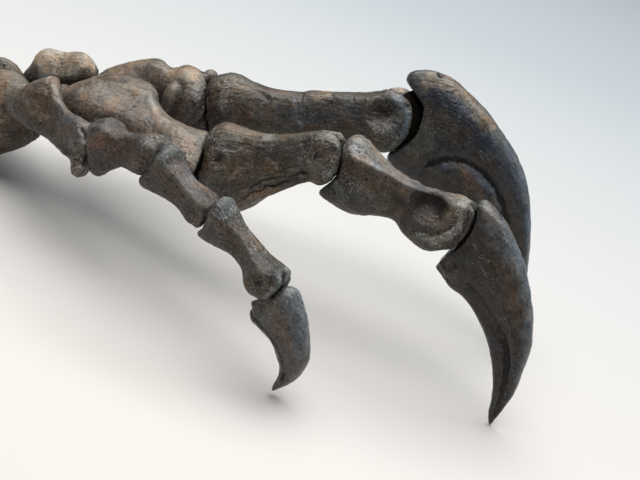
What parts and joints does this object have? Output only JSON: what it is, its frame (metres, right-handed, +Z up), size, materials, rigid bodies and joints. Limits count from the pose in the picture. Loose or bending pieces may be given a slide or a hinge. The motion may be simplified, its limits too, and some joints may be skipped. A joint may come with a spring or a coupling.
{
  "type": "fossil dinosaur hand skeleton",
  "caption": "Dark fossil hand skeleton of a large theropod: palm and wrist bones, spool-ended finger bones and long hooked claws, palm down on its claw tips.",
  "frame": {"origin": "centre of the footprint of the whole hand, on the surface that the claw tips stand on", "axes": "+X towards the fingertips, +Y towards the thumb side, +Z up, out of the back of the hand"},
  "size_m": [0.3916, 0.193, 0.1532],
  "materials": {
    "palm_bone": "satin, grey-brown mineralised bone with pale flecks",
    "wrist_bone": "satin, beige-grey mineralised bone, rough ends",
    "finger_bone": "satin, dark brown-grey mineralised bone",
    "claw_bone": "satin, blue-black mineralised bone",
    "joint_packing": "dull, near-black brown putty"
  },
  "bodies": {
    "root": {"metacarpal_1": "palm_bone", "metacarpal_2": "palm_bone", "metacarpal_3": "palm_bone", "wrist_bone": "wrist_bone", "small_wrist_bone": "wrist_bone", "ulna_end": "wrist_bone", "radius_end": "wrist_bone", "phalanx_1_1": "finger_bone", "claw_1": "claw_bone", "phalanx_2_1": "finger_bone", "phalanx_2_2": "finger_bone", "claw_2": "claw_bone", "phalanx_3_1": "finger_bone", "phalanx_3_2": "finger_bone", "phalanx_3_3": "finger_bone", "claw_3": "claw_bone", "packing_thumb_knuckle": "joint_packing", "packing_thumb_claw": "joint_packing", "packing_2_knuckle": "joint_packing", "packing_2_middle": "joint_packing", "packing_2_claw": "joint_packing"}
  },
  "joints": []
}
